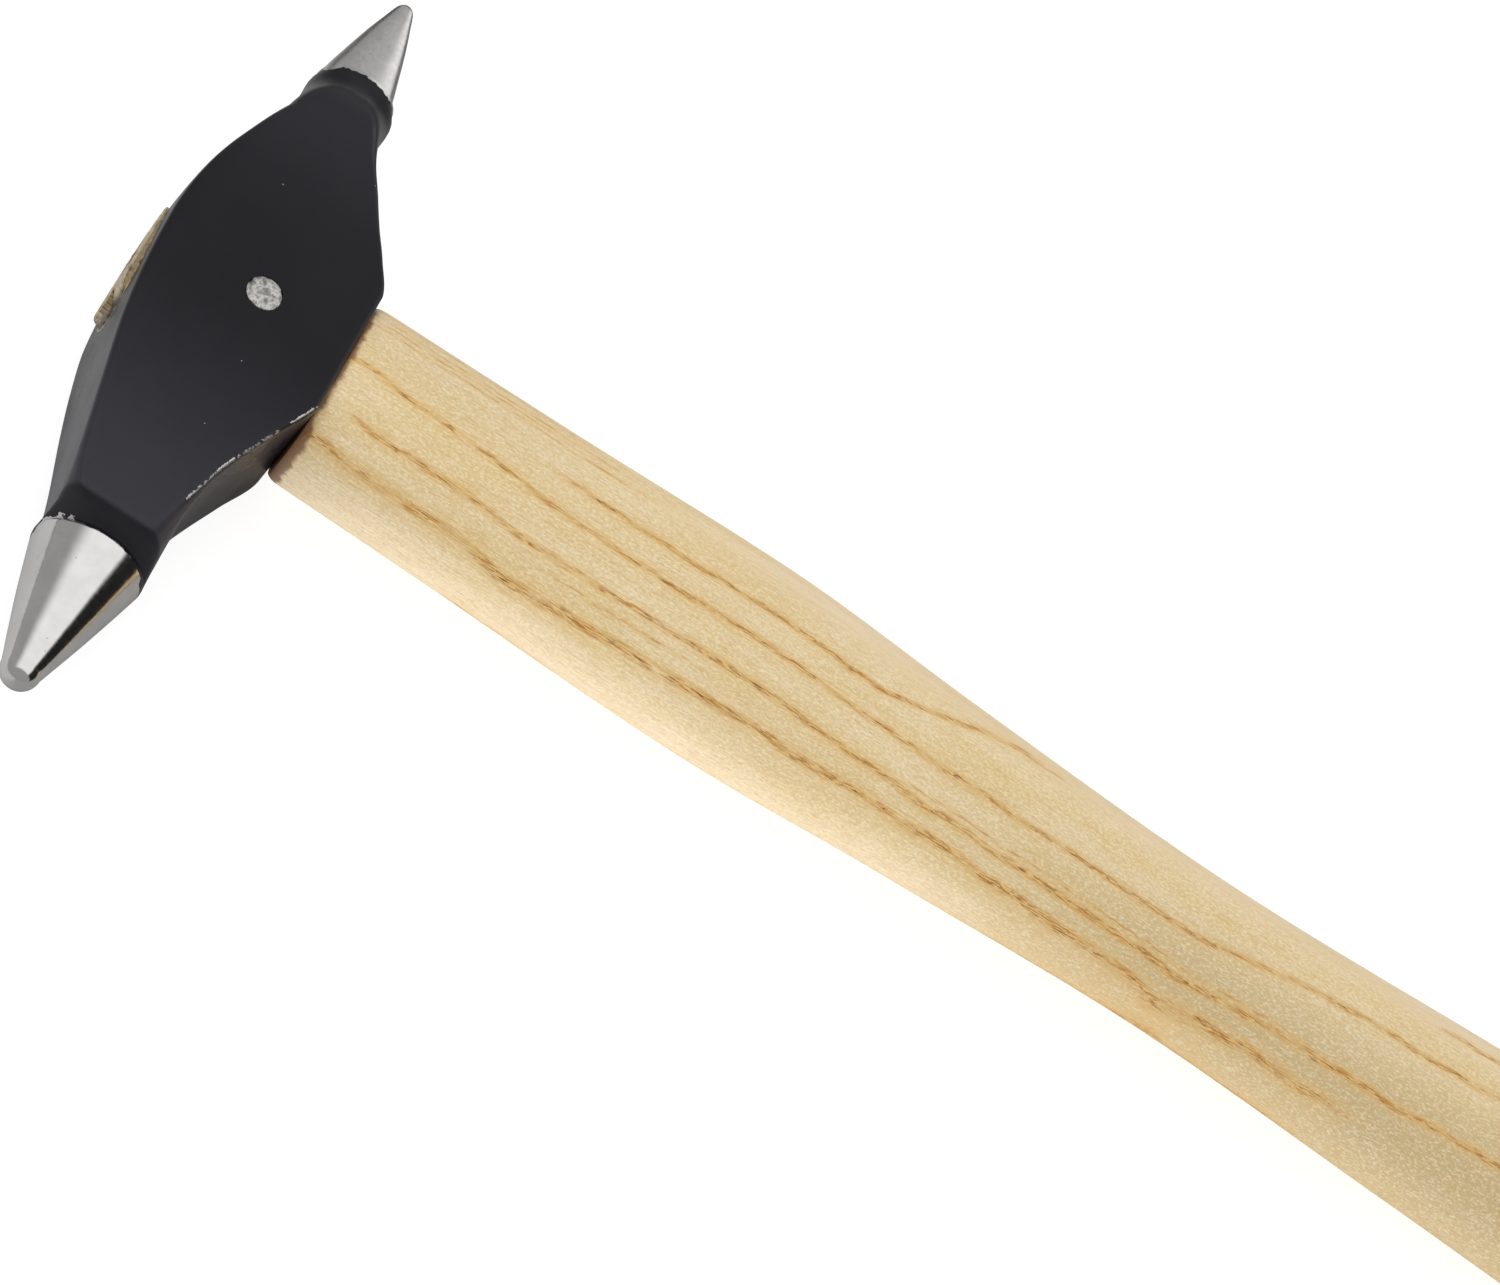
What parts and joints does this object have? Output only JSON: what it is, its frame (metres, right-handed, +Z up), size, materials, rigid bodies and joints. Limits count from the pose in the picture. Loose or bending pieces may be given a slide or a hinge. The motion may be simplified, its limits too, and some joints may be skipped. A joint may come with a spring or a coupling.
{
  "type": "cross peen hammer",
  "caption": "Small wooden-handled hammer whose black forged head has a wedge-shaped cross peen at one end and a ground cone at the other.",
  "frame": {"origin": "centre of the cross pin on the lower cheek of the head, which is the flat that the hammer rests on", "axes": "+X from the head along the handle to the butt, +Y towards the cross peen (the cone points to -Y), +Z up and square to the two flat cheeks"},
  "size_m": [0.3, 0.116, 0.022],
  "materials": {
    "black_paint": "satin-gloss black paint over forged steel, chipped at its edges",
    "ground_steel": "ground and polished bare steel",
    "ash_wood": "sanded pale ash with a thin clear finish",
    "wedge_wood": "sawn hardwood end grain",
    "glue": "set golden-brown glue"
  },
  "bodies": {
    "root": {"head": "black_paint", "handle": "ash_wood", "cross_pin": "ground_steel", "eye_wedge": "wedge_wood", "glue_bead": "glue"}
  },
  "joints": []
}
